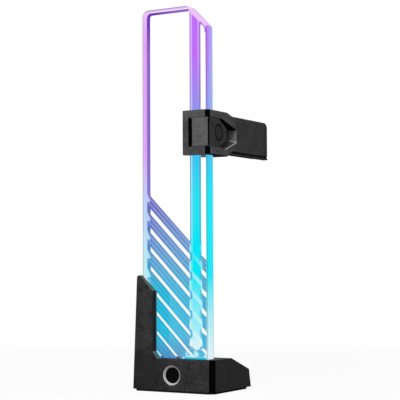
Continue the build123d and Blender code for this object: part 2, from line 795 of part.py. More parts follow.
# Anti-slip pad on the arm, standing a little proud, with grooves across it and a land in the middle
pad_groove_count = 2 * int((pad_back_y - pad_mid_y - pad_corner_radius) / pad_groove_pitch)
with BuildPart() as arm_pad:
    with BuildSketch(floor_plane(arm_top_z - pad_seat)):
        with Locations((arm_mid_x, pad_mid_y)):
            RectangleRounded(
                arm_width - 2 * pad_inset - 2 * seat_clearance,
                pad_back_y - pad_front_y - 2 * seat_clearance,
                pad_corner_radius - seat_clearance,
            )
    extrude(amount=pad_thickness)
    with BuildSketch(floor_plane(arm_top_z - pad_seat + pad_thickness)):
        with Locations((arm_mid_x, pad_mid_y)):
            with GridLocations(1, pad_groove_pitch, 1, pad_groove_count):
                Rectangle(carriage_width, pad_groove_width)
    extrude(amount=-pad_groove_depth, mode=Mode.SUBTRACT)
arm_pad.part.label = "arm_pad"
export_step(arm_pad.part, "parts/arm_pad.step")


def step_bottom_y(z):
    """Where the clamp's lower slope stands at height z."""
    return step_start_y + step_length * (z - carriage_bottom_z) / step_bottom


# Strip under the arm: a lip along the right edge, below a shadow groove, and a plug inside the arm's hollow
with BuildPart() as arm_cover:
    with BuildSketch(side_plane(carriage_right_x)) as cover_side:
        with BuildLine():
            Polyline(
                (step_bottom_y(cover_bottom_z) + seat_clearance, cover_bottom_z),
                (arm_end_y, cover_bottom_z),
                (arm_end_y, cover_top_z),
                (step_bottom_y(cover_top_z) + seat_clearance, cover_top_z),
                close=True,
            )
        make_face()
        cover_tip = cover_side.vertices().sort_by(lambda v: v.X - v.Y)[-1]
        fillet(cover_tip, cover_end_radius)
    extrude(amount=-cover_lip_width)
    far_edge = arm_cover.edges().filter_by(Axis.Y).sort_by(lambda e: e.center().X + e.center().Z)[0]
    chamfer(far_edge, cover_lip_bevel)
    with BuildSketch(floor_plane(cover_top_z)):
        with Locations((arm_mid_x, arm_end_y - cover_groove_depth)):
            Rectangle(
                arm_width - 2 * cover_groove_depth,
                arm_end_y - step_end_y - 2 * cover_groove_depth,
                align=(Align.CENTER, Align.MAX),
            )
    extrude(amount=cover_groove)
    with BuildSketch(floor_plane(arm_bottom_z)):
        with Locations((arm_mid_x, arm_hollow_mid_y)):
            Rectangle(arm_hollow_width - 2 * seat_clearance, arm_hollow_length - 2 * seat_clearance)
    extrude(amount=cover_plug)
    with Locations(
        Plane(origin=(arm_mid_x, arm_hollow_mid_y, cover_top_z), x_dir=(1, 0, 0), z_dir=(0, 0, -1))
    ):
        with cover_screw_places():
            CounterSinkHole(
                cover_screw_radius + hole_clearance,
                cover_screw_head_radius + hole_clearance,
                cover_groove + cover_plug,
                countersink_angle,
            )
arm_cover.part.label = "arm_cover"
export_step(arm_cover.part, "parts/arm_cover.step")

with BuildPart() as arm_cover_screws:
    with Locations((arm_mid_x, arm_hollow_mid_y, cover_top_z)):
        with cover_screw_places():
            Cylinder(
                cover_screw_radius,
                cover_screw_length,
                align=(Align.CENTER, Align.CENTER, Align.MIN),
            )
            Cone(
                cover_screw_head_radius,
                cover_screw_radius,
                cover_screw_head_radius - cover_screw_radius,
                align=(Align.CENTER, Align.CENTER, Align.MIN),
            )
arm_cover_screws.part.label = "arm_cover_screws"
export_step(arm_cover_screws.part, "parts/arm_cover_screws.step")

# Lock button: front body, side limb with cut corners, flange that keeps it in the window, neck in
# the groove and boss for the guide screw
with BuildPart() as lock_button:
    with BuildSketch(side_plane(limb_inner_x)) as limb_side:
        with BuildLine():
            Polyline(
                (carriage_front_y, button_bottom_z),
                (limb_end_y - limb_cut_length, button_bottom_z),
                (limb_end_y, button_bottom_z + limb_cut_height),
                (limb_end_y, button_top_z - limb_cut_height),
                (limb_end_y - limb_cut_length, button_top_z),
                (carriage_front_y, button_top_z),
                close=True,
            )
        make_face()
        fillet(limb_side.vertices().sort_by(Axis.X)[2:], limb_corner_radius)
    extrude(amount=button_limb)
    with BuildSketch(front_plane(carriage_front_y)):
        with Locations((button_left_x, window_mid_z)):
            Rectangle(carriage_right_x - button_left_x, button_height, align=(Align.MIN, Align.CENTER))
    extrude(amount=carriage_front_y - button_back_y)
    with BuildSketch(front_plane(throat_front_y)):
        with Locations((window_left_x - flange_lap, window_mid_z)):
            Rectangle(button_left_x - window_left_x + flange_lap, button_height, align=(Align.MIN, Align.CENTER))
    extrude(amount=flange_thickness)
    near_corner = lock_button.edges().filter_by(Axis.Z).sort_by(lambda e: e.center().X - e.center().Y)[-1]
    chamfer(near_corner, button_edge_bevel)
    with BuildSketch(front_plane(button_back_y)):
        with Locations((button_left_x, window_mid_z)):
            Rectangle(neck_width, shoe_height, align=(Align.MIN, Align.CENTER))
    extrude(amount=button_back_y - neck_end_y)
    with BuildSketch(side_plane(limb_inner_x)):
        with Locations((guide_y, window_mid_z)):
            Circle(guide_boss_radius)
    extrude(amount=-guide_boss_length)
    with BuildSketch(side_plane(guide_tip_x)):
        with Locations((guide_y, window_mid_z)):
            Circle(guide_radius + thread_clearance)
    extrude(amount=limb_inner_x - guide_boss_length - guide_tip_x, mode=Mode.SUBTRACT)
    with BuildSketch(side_plane(carriage_right_x)):
        with Locations((cap_y, window_mid_z)):
            Circle(cap_radius + slide_clearance)
    extrude(amount=-cap_depth, mode=Mode.SUBTRACT)
lock_button.part.label = "lock_button"
export_step(lock_button.part, "parts/lock_button.step")

# Brake shoe on the neck, facing the rail
with BuildPart() as brake_shoe:
    with BuildSketch(front_plane(button_back_y)):
        with Locations((neck_right_x, window_mid_z)):
            Rectangle(shoe_right_x - neck_right_x, shoe_height, align=(Align.MIN, Align.CENTER))
    extrude(amount=button_back_y - neck_end_y)
brake_shoe.part.label = "brake_shoe"
export_step(brake_shoe.part, "parts/brake_shoe.step")

with BuildPart() as button_cap:
    with BuildSketch(side_plane(carriage_right_x - cap_depth)):
        with Locations((cap_y, window_mid_z)):
            Circle(cap_radius)
    extrude(amount=cap_depth)
    chamfer(button_cap.faces().sort_by(Axis.X)[-1].edges(), cap_depth / 3)
button_cap.part.label = "button_cap"
export_step(button_cap.part, "parts/button_cap.step")

# Shoulder screw that guides the button and stops it from coming out
with BuildPart() as guide_screw:
    with BuildSketch(side_plane(guide_shoulder_x)):
        with Locations((guide_y, window_mid_z)):
            Circle(guide_radius)
    extrude(amount=guide_tip_x - guide_shoulder_x)
    with BuildSketch(side_plane(guide_shoulder_x)):
        with Locations((guide_y, window_mid_z)):
            Circle(guide_head_radius)
    extrude(amount=-guide_head_height)
guide_screw.part.label = "guide_screw"
export_step(guide_screw.part, "parts/guide_screw.step")

# Spring that pushes the button out, from its bore's seat to the limb
with BuildPart() as button_spring:
    with BuildLine():
        coil = Helix(
            pitch=(limb_inner_x - spring_seat_x - spring_wire) / spring_turns,
            height=limb_inner_x - spring_seat_x - spring_wire,
            radius=spring_radius,
            center=(spring_seat_x + spring_wire / 2, guide_y, window_mid_z),
            direction=(1, 0, 0),
        )
    with BuildSketch(Plane(origin=coil @ 0, z_dir=coil % 0)):
        RegularPolygon(spring_wire / 2, spring_wire_sides)
    sweep(path=coil)
button_spring.part.label = "button_spring"
export_step(button_spring.part, "parts/button_spring.step")
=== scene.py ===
import functools
import math

import bmesh
import bpy
import numpy as np
from mathutils import Matrix, Vector


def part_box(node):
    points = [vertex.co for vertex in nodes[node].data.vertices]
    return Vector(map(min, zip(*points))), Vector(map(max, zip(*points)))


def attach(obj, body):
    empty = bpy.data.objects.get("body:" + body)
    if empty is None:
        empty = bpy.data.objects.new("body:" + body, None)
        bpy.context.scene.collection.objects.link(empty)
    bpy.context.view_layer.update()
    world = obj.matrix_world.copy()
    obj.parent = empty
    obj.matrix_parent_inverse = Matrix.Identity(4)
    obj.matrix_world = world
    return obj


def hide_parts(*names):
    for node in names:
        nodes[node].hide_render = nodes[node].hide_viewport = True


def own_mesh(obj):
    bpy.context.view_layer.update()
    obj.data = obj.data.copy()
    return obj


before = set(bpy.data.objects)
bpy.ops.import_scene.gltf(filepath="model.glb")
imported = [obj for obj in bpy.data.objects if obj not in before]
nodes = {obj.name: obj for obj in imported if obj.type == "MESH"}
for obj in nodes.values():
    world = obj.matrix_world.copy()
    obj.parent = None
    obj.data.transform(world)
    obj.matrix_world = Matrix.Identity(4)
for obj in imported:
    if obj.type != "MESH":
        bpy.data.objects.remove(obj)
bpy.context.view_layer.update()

# Looks of the graphics card support bracket. Lengths in this script are millimetres, unless a name ends
# in _m, and materials work on Object coordinates turned into millimetres.

MM = 0.001


def box_mm(node):
    """Lowest and highest corner of a CAD node, in millimetres."""
    low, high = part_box(node)
    return low / MM, high / MM


panel_low, panel_high = box_mm("light_panel")
film_low, film_high = box_mm("pattern_film")
shell_low, shell_high = box_mm("base_shell")
clamp_low, clamp_high = box_mm("carriage_frame")
button_low = box_mm("lock_button")[0]
lip_low, lip_high = box_mm("arm_cover")
badge_low, badge_high = box_mm("front_badge")
cap_low, cap_high = box_mm("button_cap")
guide_low, guide_high = box_mm("guide_screw")
cover_screw_low, cover_screw_high = box_mm("arm_cover_screws")
spring_low, spring_high = box_mm("button_spring")
badge_middle = (badge_low + badge_high) / 2
cap_middle = (cap_low + cap_high) / 2
guide_middle = (guide_low + guide_high) / 2

# Light panel and its film, as the source has them
panel_corner_radius = 4.0
panel_bevel = 0.5
panel_cut_x = 12.9
panel_cut_z = 12.7
rail_width = 4.1
groove_width = 6.9
groove_depth = 6.4
groove_bottom_z = 24.3
border_width = 2.3
border_top_width = 1.5
stripe_start_z = 115.7
stripe_pitch = 11.05
first_gap_drop = 12.6
acrylic_ior = 1.49
rail_left = panel_high.x - rail_width
groove_left = rail_left - groove_width
groove_floor = panel_low.y + groove_depth
border_right = film_low.x + border_width
border_foot = film_high.z - border_top_width
stripe_start = film_low.x + stripe_start_z  # x + z along the first stripe's upper edge
gap_start_x = border_width + 1.2  # where the gaps start, from the film's left side
gap_middle = first_gap_drop - gap_start_x  # below the first stripe's upper edge, along the panel's height
gap_reach = 1.35  # half a gap's height

# Clamp, as the source has it
clamp_bevel = 2.6
recess_depth = 5.5
recess_length = 32.5
recess_straight = 18.0
recess_drop = 4.5  # end wall's lower corner below the button's middle, at the clamp's side
recess_rise = 1.5  # from that corner to the one at the recess's floor
recess_floor = clamp_high.x - recess_depth
recess_end = clamp_low.y + recess_length
clamp_bevel_start = clamp_high.x - clamp_bevel - 0.2

# Base and badge
shell_bevel = 2.7
shell_bevel_start = shell_high.x - shell_bevel - 0.5
panel_base_z = 19.2  # the front wall's top, where the panel comes out
badge_ring_depth = 1.0

hair = 0.05  # the usual soft edge of a mask, and its margin round a face


def srgb(code):
    """The linear colour that shows as a six-digit colour code."""
    parts = np.array([int(code[place:place + 2], 16) for place in (0, 2, 4)]) / 255
    linear = np.where(parts <= 0.04045, parts / 12.92, ((parts + 0.055) / 1.055) ** 2.4)
    return (*linear.tolist(), 1.0)


def feed(socket, value):
    """Links a socket to a node's result, or writes a number, vector or colour code into it."""
    if isinstance(value, bpy.types.NodeSocket):
        socket.id_data.links.new(value, socket)
    elif isinstance(value, str):
        socket.default_value = srgb(value)
    else:
        socket.default_value = value


def add_node(kind, inputs, **settings):
    """Adds a node to the tree that the sockets among its inputs are from, and returns its outputs.

    inputs has each input's value by its name or place, and settings has the node's own choices by name.
    """
    tree = next(value.id_data for value in inputs.values() if isinstance(value, bpy.types.NodeSocket))
    node = tree.nodes.new("ShaderNode" + kind)
    for name, choice in settings.items():
        setattr(node, name, choice)
    for key, value in inputs.items():
        feed(node.inputs[key], value)
    return node.outputs


def maths(operation, first, second=0.0):
    """One step of arithmetic on numbers."""
    return add_node("Math", {0: first, 1: second}, operation=operation)[0]


def less(first, second):
    """The first number less the second."""
    return maths("SUBTRACT", first, second)


def plus(first, second):
    """The sum of two numbers."""
    return maths("ADD", first, second)


def times(first, second):
    """The product of two numbers."""
    return maths("MULTIPLY", first, second)


def larger(first, second):
    """The larger of two numbers."""
    return maths("MAXIMUM", first, second)


def both(*masks):
    """A mask that is on only where every mask is on."""
    return functools.reduce(times, masks)


def either(*masks):
    """A mask that is on where one of the masks is on."""
    return functools.reduce(larger, masks)


def off(mask):
    """A mask that is on where another is off."""
    return less(1.0, mask)


def step(value, low, high):
    """0 below low, 1 above high and a smooth rise between them. It falls where low is above high."""
    falling = low > high
    inputs = {"Value": value, "From Min": min(low, high), "From Max": max(low, high)}
    inputs["To Min"] = float(falling)
    inputs["To Max"] = float(not falling)
    return add_node("MapRange", inputs, interpolation_type="SMOOTHSTEP")["Result"]


def above(value, place, edge=hair):
    """On where a value is above a place, with a soft edge below it."""
    return step(value, place - edge, place)


def below(value, place, edge=hair):
    """On where a value is below a place, with a soft edge above it."""
    return step(value, place + edge, place)


def inside(value, low, high, edge=hair):
    """On where a value lies from low to high, with a soft edge outside them."""
    return both(above(value, low, edge), below(value, high, edge))


def wrapped(value, period):
    """How far a value is through its period, from 0 to 1."""
    return maths("FRACT", times(value, 1 / period))


def between(share, low, high):
    """A number from low to high as share goes from 0 to 1."""
    return add_node("MapRange", {"Value": share, "To Min": low, "To Max": high})["Result"]


def mix(share, first, second):
    """The first colour where share is 0, the second where it is 1."""
    return add_node("Mix", {"Factor": share, 6: first, 7: second}, data_type="RGBA")[2]


def ramp(value, stops):
    """A colour that changes with a value, through (value, colour code) stops in rising order."""
    low = stops[0][0]
    high = stops[-1][0]
    share = add_node("MapRange", {"Value": value, "From Min": low, "From Max": high})["Result"]
    colour = add_node("ValToRGB", {0: share})["Color"]
    band = colour.node.color_ramp.elements
    while len(band) < len(stops):
        band.new(0.5)
    for element, (place, code) in zip(band, stops):
        element.position = (place - low) / (high - low)
        element.color = srgb(code)
    return colour


def bump(height, depth, strength):
    """A normal that shows height as relief, depth millimetres deep."""
    return add_node("Bump", {"Strength": strength, "Distance": depth * MM, "Height": height})[0]


def corner_distance(radius, first, second):
    """Distance inside a rounded corner, from the distances to its two edges.

    It is the radius less the length of how far both distances fall short of the radius.
    """
    short_first = larger(less(radius, first), 0.0)
    short_second = larger(less(radius, second), 0.0)
    squares = plus(times(short_first, short_first), times(short_second, short_second))
    return less(radius, maths("SQRT", squares))


class Finish:
    """A procedural material, with the place in millimetres and the normal of the point that is shaded."""

    def __init__(self, name):
        self.material = bpy.data.materials.new(name)
        self.material.use_nodes = True
        self.tree = self.material.node_tree
        self.tree.nodes.clear()
        self.surface = self.tree.nodes.new("ShaderNodeOutputMaterial").inputs["Surface"]
        place_m = self.tree.nodes.new("ShaderNodeTexCoord").outputs["Object"]
        self.point = add_node("VectorMath", {0: place_m, "Scale": 1 / MM}, operation="SCALE")[0]
        self.x, self.y, self.z = add_node("SeparateXYZ", {0: self.point})
        self.normal = self.tree.nodes.new("ShaderNodeNewGeometry").outputs["True Normal"]

    def facing(self):
        """How far the surface faces along x, y and z, each from 0 to 1 whichever way it points."""
        absolute = add_node("VectorMath", {0: self.normal}, operation="ABSOLUTE")[0]
        return add_node("SeparateXYZ", {0: absolute})

    def looks(self, direction, low, high):
        """On where the surface faces a direction: the cosine between them goes from low to high."""
        way = Vector(direction).normalized()
        cosine = add_node("VectorMath", {0: self.normal, 1: way}, operation="DOT_PRODUCT")["Value"]
        return step(cosine, low, high)

    def noise(self, size, detail, stretch=(1, 1, 1)):
        """Smooth noise from 0 to 1 with lumps about size across, drawn out along each axis by stretch."""
        shrink = [1 / part for part in stretch]
        place = add_node("Mapping", {"Vector": self.point, "Scale": shrink})[0]
        return add_node("TexNoise", {"Vector": place, "Scale": 1 / size, "Detail": detail})["Fac"]

    def shade(self, **sockets):
        """Ends the material in one shader, its sockets given by name with _ for each space."""
        inputs = {name.replace("_", " "): value for name, value in sockets.items()}
        feed(self.surface, add_node("BsdfPrincipled", inputs)[0])
        return self.material


# Speckle of the moulded plastics
patch_size = 7.0
patch_share = 0.35
grain_size = 0.9

# Dark and light tone of each plastic's speckle; the clamp's front, top, side and arm tones and the button's
# two tones are one plastic with painted light and shade
shell_tones = ("262626", "454545")
clamp_front_tones = ("3c3c3c", "545454")
clamp_top_tones = ("4a4a4a", "646464")
clamp_side_tones = ("5c5c5c", "767676")
arm_tones = ("434343", "5e5e5e")
strip_tones = ("363636", "4a4a4a")
button_tones = ("404040", "575757")
thumb_tones = ("525252", "6c6c6c")
cap_tones = ("353535", "484848")

# Painted light and shade on the black pieces, darker or lighter than their plastic, and the badge ring's own
# grey
painted_shade_black = "030303"
bevel_painted_shade = "050505"
window_painted_shade = "020202"
shadow_black = "080808"
dull_black = "0a0a0a"
corner_shade = "1a1a1a"
arm_end_shade = "202020"
upright_bevel_highlight = "2a3030"
sloped_bevel_highlight = "606462"
painted_side_light = "585858"
flare_painted_light = "626262"
end_wall_painted_light = "888888"
ring_grey = "c0c0c0"
painted_highlight_grey = "c8c8c8"

# The panel's light on the cut edge of the base's front wall, by share of its depth, as (share, colour code)
upright_edge_glow = [(0.0, "020202"), (0.55, "1c2028"), (0.75, "304c58"), (1.0, "56b0c4")]
sloped_edge_glow = [(0.0, "3c4c50"), (0.5, "2d6878"), (0.7, "46b0c0"), (1.0, "2acddc")]
tip_glow = "d8e8ee"

# Shade on the base's lower left: full at the second place, none at the first
shade_heights = (30.0, 16.0)
shade_widths = (2.0, -16.0)


def speckle(finish):
    """Contrast of spark-grained plastic, fine speckle over faint cloudy patches, and the grain alone."""
    patches = finish.noise(patch_size, 3.0)
    grain = finish.noise(grain_size, 3.0)
    blend = plus(times(patches, patch_share), times(grain, 1 - patch_share))
    return step(blend, 0.3, 0.7), grain


def moulded_plastic(finish, tone, grain, **sockets):
    """Ends a finish as spark-grained plastic with a low sheen."""
    return finish.shade(
        Base_Color=tone,
        Roughness=between(grain, 0.55, 0.7),
        Normal=bump(grain, 0.03, 0.4),
        Specular_IOR_Level=0.05,
        **sockets,
    )


def corner_bevel(finish, start):
    """On where the bevel on a piece's front right corner is, which starts at x = start."""
    return both(finish.looks((1, -1, 0), 0.96, 0.99), above(finish.x, start, 0.3))


def shell_black():
    """Base plastic, its right side painted lighter, its corner bevel painted black as shade, and painted
    highlights on the front wall's bevels. The front wall's cut edge takes the panel's light, painted on as
    glow.
    """
    finish = Finish("shell_black")
    x, y, z = finish.x, finish.y, finish.z
    contrast, grain = speckle(finish)
    tone = mix(contrast, *shell_tones)
    looks_right = finish.looks((1, 0, 0), 0.8, 0.9)
    # Painted light: the right side is painted lighter
    tone = mix(times(looks_right, 0.2), tone, painted_side_light)
    low_left = both(step(z, *shade_heights), step(x, *shade_widths))
    tone = mix(times(low_left, 0.5), tone, corner_shade)
    # Painted shade: the corner bevel is painted black
    tone = mix(corner_bevel(finish, shell_bevel_start), tone, painted_shade_black)
    left_of_corner = below(x, shell_high.x - 5.0, 1.0)
    # Painted highlights on the front wall's upright and sloped bevels
    upright_bevel = both(finish.looks((1, -1, 0), 0.96, 0.99), left_of_corner)
    sloped_bevel = both(finish.looks((1, -1.4, 1), 0.9, 0.96), left_of_corner)
    tone = mix(upright_bevel, tone, upright_bevel_highlight)
    tone = mix(sloped_bevel, tone, sloped_bevel_highlight)
    wall_edge = both(
        left_of_corner,
        above(z, panel_base_z + 0.3, 0.5),
        below(y, panel_low.y + 0.3, 0.1),
        finish.looks((1, 0, 0.6), 0.75, 0.8),
    )
    tone = mix(wall_edge, tone, shadow_black)
    sloped = finish.looks((0, 0, 1), 0.3, 0.4)
    depth_share = times(less(y, shell_low.y), 1 / (panel_low.y - shell_low.y))
    spill = mix(sloped, ramp(depth_share, upright_edge_glow), ramp(depth_share, sloped_edge_glow))
    pale_tip = both(above(z, shell_high.z - 1.0, 5.0), above(depth_share, 0.6, 0.3))
    spill = mix(pale_tip, spill, tip_glow)
    return moulded_plastic(finish, tone, grain, Emission_Color=spill, Emission_Strength=wall_edge)


def clamp_black():
    """Clamp plastic, greyer than the base, with painted light on its top and right side. Painted shade
    blackens its corner bevel, window and the recess's upper sides; painted light brightens the recess's
    flare and end wall, with painted highlights on its edges.
    """
    finish = Finish("clamp_black")
    x, y, z = finish.x, finish.y, finish.z
    contrast, grain = speckle(finish)
    # Painted light: the upper part and the right side are painted lighter, and the arm's side darker
    upper = above(z, cap_middle.z + 9.0, 3.0)
    front_tone = mix(upper, mix(contrast, *clamp_front_tones), mix(contrast, *clamp_top_tones))
    on_arm = above(y, recess_end + 3.0, 12.0)
    side_tone = mix(on_arm, mix(contrast, *clamp_side_tones), mix(contrast, *arm_tones))
    looks_right = finish.looks((1, 0, 0), 0.6, 0.8)
    tone = mix(looks_right, front_tone, side_tone)
    arm_end = above(y, clamp_high.y - 3.0, 2.0)
    tone = mix(times(arm_end, 0.4), tone, arm_end_shade)
    # Painted shade: the corner bevel is painted black
    tone = mix(corner_bevel(finish, clamp_bevel_start), tone, bevel_painted_shade)

    in_window = both(
        below(x, recess_floor - 1.0, 0.5),
        above(x, clamp_low.x + 2.5, 0.5),
        above(y, clamp_low.y + 0.7, 0.2),
    )
    # Painted shade: the window inside the clamp is painted black
    tone = mix(both(in_window, looks_right), tone, window_painted_shade)
    in_recess = both(above(x, recess_floor - 0.1, 0.1), inside(y, clamp_low.y + 3.0, recess_end + 0.1))
    looks_up = finish.looks((0, 0, 1), 0.3, 0.4)
    looks_down = finish.looks((0, 0, -1), 0.3, 0.4)
    flare = both(in_recess, looks_up, below(z, cap_middle.z - 1.0, 1.0))
    # Painted light: the recess's flare, which looks up, is painted lighter
    tone = mix(flare, tone, flare_painted_light)
    # Painted shade: the recess's upper sides, which look down, are painted black
    tone = mix(both(in_recess, looks_down), tone, painted_shade_black)
    rim_start = clamp_low.y + recess_straight + 2.0
    rim = both(flare, above(x, clamp_high.x - 0.6, 0.15), above(y, rim_start, 2.0))
    end_wall = both(
        in_recess,
        inside(y, recess_end - 0.1, recess_end + 0.1),
        finish.looks((0, -1, 0), 0.8, 0.9),
    )
    # Painted light: the recess's end wall is painted lighter
    tone = mix(end_wall, tone, end_wall_painted_light)
    wall_rise = times(less(clamp_high.x, x), recess_rise / recess_depth)
    wall_foot = plus(wall_rise, cap_middle.z - recess_drop)
    wall_band = both(end_wall, below(less(z, wall_foot), 0.8, 0.3))
    # Painted highlights along the recess's rim and the foot of its end wall
    tone = mix(either(rim, wall_band), tone, painted_highlight_grey)
    return moulded_plastic(finish, tone, grain)


def strip_black():
    """The arm's strip: the arm's plastic on its side, painted black as shadow where it looks down or sits
    under the arm.
    """
    finish = Finish("strip_black")
    contrast, grain = speckle(finish)
    outer = above(finish.x, lip_high.x - 0.3, 0.3)
    # Painted shadow: all but the outer side is painted black
    return moulded_plastic(finish, mix(outer, shadow_black, mix(contrast, *strip_tones)), grain)


def button_grey():
    """Lock button: a grained thumb face painted paler than its darker sides as painted light, and a flange
    and corner bevel painted black as shade.
    """
    finish = Finish("button_grey")
    contrast, grain = speckle(finish)
    # Painted light: the thumb face is painted paler than the sides
    thumb_face = both(finish.looks((0, -1, 0), 0.9, 0.95), below(finish.y, button_low.y + 0.6, 0.4))
    tone = mix(thumb_face, mix(contrast, *button_tones), mix(contrast, *thumb_tones))
    # Painted shade: the flange seen behind the clamp and the corner bevel are painted black
    flange = below(finish.x, button_low.x + 3.1, 0.2)
    black = either(flange, corner_bevel(finish, clamp_bevel_start))
    return moulded_plastic(finish, mix(black, tone, painted_shade_black), grain)


def glide_black():
    """Slippery liner with drawn streaks."""
    finish = Finish("glide_black")
    streaks = finish.noise(0.6, 3.0, (1, 1, 8))
    return finish.shade(
        Base_Color=mix(streaks, "101010", "1e1e1e"),
        Roughness=between(streaks, 0.35, 0.5),
        Specular_IOR_Level=0.2,
    )


def rubber(name, dark, light):
    """Dull rubber with a fine dusty grain."""
    finish = Finish(name)
    grain = finish.noise(0.3, 3.0)
    dust = finish.noise(6.0, 4.0)
    return finish.shade(
        Base_Color=mix(times(grain, dust), dark, light),
        Roughness=between(grain, 0.8, 0.95),
        Normal=bump(grain, 0.05, 0.6),
        Specular_IOR_Level=0.1,
    )


def worked_metal(name, dark, light, stretch, low_gloss, high_gloss):
    """Metal with the fine streaks that its working left."""
    finish = Finish(name)
    streaks = finish.noise(0.5, 3.0, stretch)
    clouds = finish.noise(7.0, 2.0)
    return finish.shade(
        Base_Color=mix(times(plus(streaks, clouds), 0.5), dark, light),
        Roughness=between(streaks, low_gloss, high_gloss),
        Normal=bump(streaks, 0.02, 0.3),
        Metallic=1.0,
    )


def badge_gloss():
    """Black inlay with faint polishing haze, at the foot of a satin grey ring that slopes down to it."""
    finish = Finish("badge_gloss")
    haze = finish.noise(2.5, 4.0)
    ring = below(finish.y, badge_low.y + badge_ring_depth - 0.06, 0.04)
    return finish.shade(
        Base_Color=mix(ring, mix(haze, "040404", dull_black), ring_grey),
        Roughness=between(haze, 0.2, 0.35),
        Specular_IOR_Level=0.1,
    )


def cap_satin():
    """Satin cap on the button's side, with painted shade darkening its ring groove and its edge."""
    finish = Finish("cap_satin")
    contrast, grain = speckle(finish)
    # Painted shade: the ring groove and the edge, deeper than the face, are painted dark
    groove = below(finish.x, cap_high.x - 0.2, 0.12)
    return moulded_plastic(finish, mix(groove, mix(contrast, *cap_tones), dull_black), grain)


# Light in the panel by height: bleached next to the lamps at its foot, then cyan, and violet at its top
white = "ffffff"
bleached = "dcf2f8"
cyan = "06e6f4"
azure = "34c0f0"
periwinkle = "9490ec"
violet = "c06cf8"
pink = "f0c0ff"
tower_light = [
    (24, bleached), (66, cyan), (112, cyan), (140, azure), (165, periwinkle), (196, violet), (214, violet),
]
# The panel's left side turns violet lower down
mint = "b0f2f8"
lavender = "c0c8fa"
orchid = "e0a0f8"
left_light = [(66, mint), (116, lavender), (138, orchid), (205, orchid), (223, pink)]
# Palest light: on the right side, in the groove's upper part and on the beads
sky = "a0d0f0"
blush = "fcf0ff"
ice = "f0ffff"
# Edges show as darker lines
edge_grey = "9ca8b4"
edge_mauve = "8c7c9c"
edge_shade = "50586c"
edge_blue = "2caad4"

# Print on the film
ink = "385494"
film_black = "060608"
border_blue = "7e70c8"
border_violet = "8a5cc0"
border_deep = "6420b0"
border_tint = [(117, border_blue), (200, border_violet), (215, border_deep)]
steel_blue = "4c88c4"
lagoon = "10bee2"
cornflower = "5e98d8"
iris = "7a5cc8"
stripe_tint = [(18, steel_blue), (32, lagoon), (56, lagoon), (85, cornflower), (115, iris)]
dusk_blue = "72a0ce"
faded_tint = [(20, dusk_blue), (45, edge_blue), (88, dusk_blue)]
rail_tint = [(17, lagoon), (95, dusk_blue)]
tooth_tint = [(60, mint), (110, lavender)]

# Heights over which a look comes in, from the first to the second
edges_turn_blue = (100.0, 84.0)
right_turns_pale = (120.0, 165.0)
back_line_starts = (80.0, 45.0)
groove_turns_pale = (80.0, 150.0)
floor_turns_pale = (150.0, 210.0)
bands_start = (84.0, 62.0)
beads_start = (90.0, 78.0)
lines_start = (45.0, 85.0)
# Heights between which a look is on
clear_beads_span = (34.0, 62.0)
streaks_span = (100.0, 150.0)
# Widths over which the stripes fade to the right
stripes_fade = (film_low.x + 12.0, film_high.x + 6.0)

# Beads of light along the lit groove's lower part
bead_middle_z = 27.9
bead_reach = 0.55
band_lift = 2.2  # bands of light above the stripes' gaps behind them
# Dark lip along the groove's left wall: its depth, and how much it grows between two beads
lip_width = 0.8
lip_growth = 1.2
# Edge lines: their width on the front, and the soft edge of each
rounded_rim_width = 0.7
straight_rim_width = 0.5
groove_rim_width = 0.3
rim_edge = 0.15
# Rail's clear window: its upper corner's radius, and how far its edge is from the panel's side and cut
window_corner = 2.0
window_side = 0.5
window_top = 1.0
window_line_width = 0.65
# Pink above the groove: its width along the cut corner, and how far it goes down the rail
pink_width = 1.5
pink_reach = 2.6
# Where a painted view of the stripes behind the rail lies on its inner wall: moved left, and further right
# with depth
rail_shift = 2.76
rail_slope = 0.363
# Where a painted view of the stripes behind the panel lies on the groove's left wall: further left towards
# the front
groove_slope = 0.591
haze_glow = 0.08


def stripe_gap(slant):
    """On in the clear gaps between stripes. slant is x + z, or what stands for it where the stripes bend."""
    along = wrapped(less(stripe_start, slant), stripe_pitch)
    middle = gap_middle / stripe_pitch
    reach = gap_reach / stripe_pitch
    return inside(along, middle - reach, middle + reach, 0.03)


def rim_distances(finish):
    """Distances from the panel's rounded left and top edge, its right edge and its cut corner."""
    right = less(panel_high.x, finish.x)
    down = less(panel_high.z, finish.z)
    rounded = corner_distance(panel_corner_radius, less(finish.x, panel_low.x), down)
    slope_length = math.hypot(panel_cut_x, panel_cut_z)
    reach = plus(times(right, panel_cut_z), times(down, panel_cut_x))
    cut = times(less(reach, panel_cut_x * panel_cut_z), 1 / slope_length)
    return rounded, right, cut


